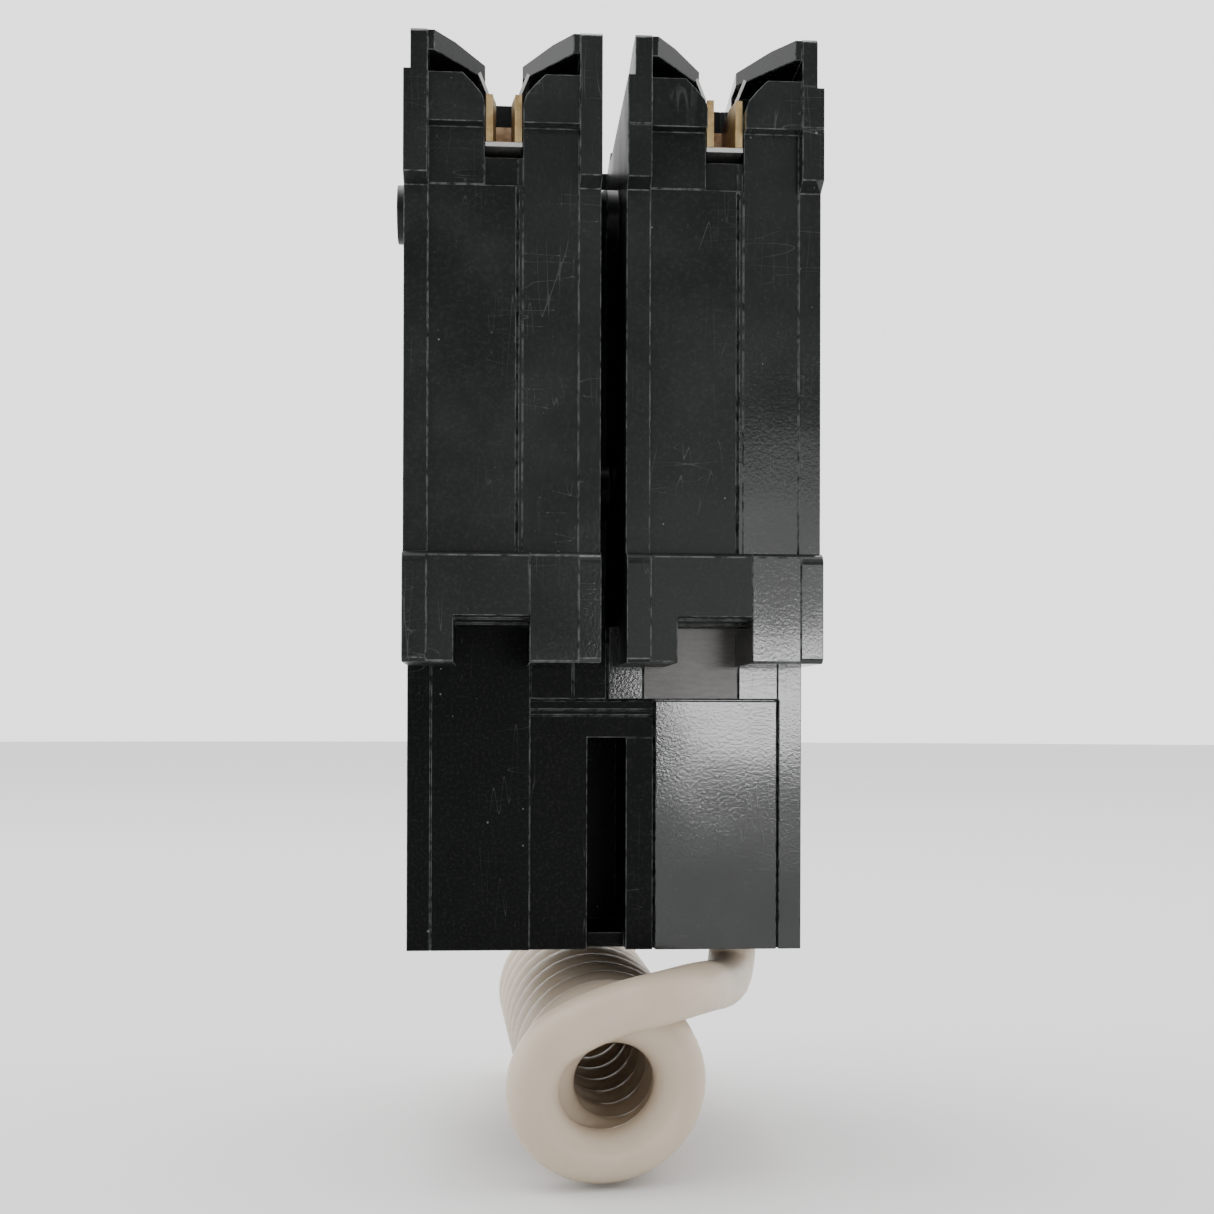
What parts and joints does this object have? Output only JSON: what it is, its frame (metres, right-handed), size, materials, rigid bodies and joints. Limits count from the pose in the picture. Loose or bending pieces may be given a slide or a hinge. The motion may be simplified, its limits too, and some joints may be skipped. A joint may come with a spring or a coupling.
{
  "type": "molded case breaker",
  "caption": "Plug-on molded case breaker with joined handles, ground-fault module, test button, load lugs and a coiled neutral pigtail.",
  "frame": {"origin": "in the plane of the feet's and ears' back surfaces, midway between the two poles, level with the feet's lower edge where the rail hooks in", "axes": "+X across the poles, to the right when seen from the back; +Y from the back to the handles; +Z from the load end to the line end"},
  "size_m": [0.0508, 0.0761, 0.1319],
  "materials": {
    "mould": "satin moulded thermoset, worn edges",
    "handle_plastic": "satin",
    "copper": "dull copper alloy",
    "spring_steel": "bright",
    "dull_steel": "dull, stamped",
    "silver_contact": "silver alloy",
    "bimetal_strip": "dull",
    "braid_copper": "woven",
    "lead_jacket": "smooth wire jacket",
    "white_jacket": "smooth vinyl wire jacket",
    "core_green": "epoxy coated",
    "board_green": "solder mask",
    "coil_wire": "enamelled wire",
    "lug_metal": "plated",
    "button_plastic": "satin",
    "label_white": "blank label",
    "rubber_black": "matte",
    "stranded_copper": "stripped strands, tarnished"
  },
  "bodies": {
    "case": {"pole_base_a": "mould", "pole_cover_a": "mould", "pole_base_b": "mould", "pole_cover_b": "mould", "stab_jaw_a": "copper", "stab_jaw_b": "copper", "jaw_spring_a": "spring_steel", "jaw_spring_b": "spring_steel", "line_strap_a": "copper", "line_strap_b": "copper", "fixed_contact_a": "silver_contact", "fixed_contact_b": "silver_contact", "arc_chute_a": "dull_steel", "arc_chute_b": "dull_steel", "bimetal_a": "bimetal_strip", "bimetal_b": "bimetal_strip", "magnet_yoke_a": "dull_steel", "magnet_yoke_b": "dull_steel", "braid_a": "braid_copper", "braid_b": "braid_copper", "load_lead_a": "lead_jacket", "load_lead_b": "lead_jacket", "handle_pins": "spring_steel", "case_rivets": "spring_steel", "toggle_spring_a": "spring_steel", "toggle_spring_b": "spring_steel", "module_base": "mould", "module_cover": "mould", "current_transformer": "core_green", "circuit_board": "board_green", "solenoid": "coil_wire", "test_spring": "spring_steel", "test_contact": "copper", "load_lug_a": "lug_metal", "load_lug_b": "lug_metal", "neutral_lug": "lug_metal", "neutral_lead": "white_jacket", "front_label": "label_white", "pigtail_bushing": "rubber_black", "pigtail_lead": "white_jacket", "pigtail_coil": "white_jacket", "pigtail_bare_end": "stranded_copper"},
    "handles": {"handle_a": "handle_plastic", "handle_b": "handle_plastic", "handle_tie": "handle_plastic"},
    "arm_a": {"contact_arm_a": "copper", "moving_contact_a": "silver_contact"},
    "arm_b": {"contact_arm_b": "copper", "moving_contact_b": "silver_contact"},
    "trip_bar": {"trip_bar": "handle_plastic"},
    "cradle_a": {"cradle_a": "dull_steel"},
    "cradle_b": {"cradle_b": "dull_steel"},
    "armature_a": {"armature_a": "dull_steel"},
    "armature_b": {"armature_b": "dull_steel"},
    "plunger": {"plunger": "spring_steel"},
    "test_button": {"test_button": "button_plastic"},
    "lug_screw_a": {"lug_screw_a": "spring_steel"},
    "lug_screw_b": {"lug_screw_b": "spring_steel"},
    "lug_screw_n": {"lug_screw_n": "spring_steel"}
  },
  "joints": [
    {"name": "handle_pivot", "type": "hinge", "parent": "case", "child": "handles", "pos_m": [0, 0.048, 0.033], "axis": [1, 0, 0], "range_deg": [0, 48], "deforming": ["toggle_spring_a", "toggle_spring_b", "braid_a", "braid_b"]},
    {"name": "contact_arm_a_pivot", "type": "hinge", "parent": "handles", "child": "arm_a", "pos_m": [-0.0127, 0.04161, 0.03585], "axis": [1, 0, 0], "range_deg": [-16, 0]},
    {"name": "contact_arm_b_pivot", "type": "hinge", "parent": "handles", "child": "arm_b", "pos_m": [0.0127, 0.04161, 0.03585], "axis": [1, 0, 0], "range_deg": [-16, 0]},
    {"name": "trip_bar_turn", "type": "hinge", "parent": "case", "child": "trip_bar", "pos_m": [0, 0.052, 0.012], "axis": [1, 0, 0], "range_deg": [0, 12], "stiffness_Nm_per_rad": 0.02, "springref_deg": -14.32},
    {"name": "cradle_a_pivot", "type": "hinge", "parent": "case", "child": "cradle_a", "pos_m": [-0.0074, 0.027, 0.041], "axis": [1, 0, 0], "range_deg": [-12.5, 0]},
    {"name": "armature_a_pivot", "type": "hinge", "parent": "case", "child": "armature_a", "pos_m": [-0.0127, 0.044, 0.0136], "axis": [1, 0, 0], "range_deg": [0, 3.2]},
    {"name": "cradle_b_pivot", "type": "hinge", "parent": "case", "child": "cradle_b", "pos_m": [0.018, 0.027, 0.041], "axis": [1, 0, 0], "range_deg": [-12.5, 0]},
    {"name": "armature_b_pivot", "type": "hinge", "parent": "case", "child": "armature_b", "pos_m": [0.0127, 0.044, 0.0136], "axis": [1, 0, 0], "range_deg": [0, 3.2]},
    {"name": "plunger_slide", "type": "slide", "parent": "case", "child": "plunger", "axis": [0, 1, 0], "range_m": [0, 0.0032]},
    {"name": "test_button_press", "type": "slide", "parent": "case", "child": "test_button", "axis": [0, -1, 0], "range_m": [0, 0.0018], "stiffness_N_per_m": 400, "springref_m": -0.002, "deforming": ["test_spring"]},
    {"name": "lug_screw_a_turn", "type": "hinge", "parent": "case", "child": "lug_screw_a", "pos_m": [-0.0175, 0.0425, -0.0275], "axis": [0, 1, 0], "continuous": true},
    {"name": "lug_screw_b_turn", "type": "hinge", "parent": "case", "child": "lug_screw_b", "pos_m": [0.0093, 0.0425, -0.0275], "axis": [0, 1, 0], "continuous": true},
    {"name": "lug_screw_n_turn", "type": "hinge", "parent": "case", "child": "lug_screw_n", "pos_m": [-0.0086, 0.0425, -0.0275], "axis": [0, 1, 0], "continuous": true}
  ],
  "couplings": [
    {"joint": "contact_arm_a_pivot", "follows": "handle_pivot", "ratio": -0.28958},
    {"joint": "contact_arm_b_pivot", "follows": "handle_pivot", "ratio": -0.28958},
    {"joint": "cradle_a_pivot", "follows": "trip_bar_turn", "ratio": -1},
    {"joint": "cradle_b_pivot", "follows": "trip_bar_turn", "ratio": -1},
    {"joint": "armature_a_pivot", "follows": "trip_bar_turn", "ratio": 0.25},
    {"joint": "armature_b_pivot", "follows": "trip_bar_turn", "ratio": 0.25},
    {"joint": "plunger_slide", "follows": "trip_bar_turn", "m_per_rad": 0.0148}
  ]
}
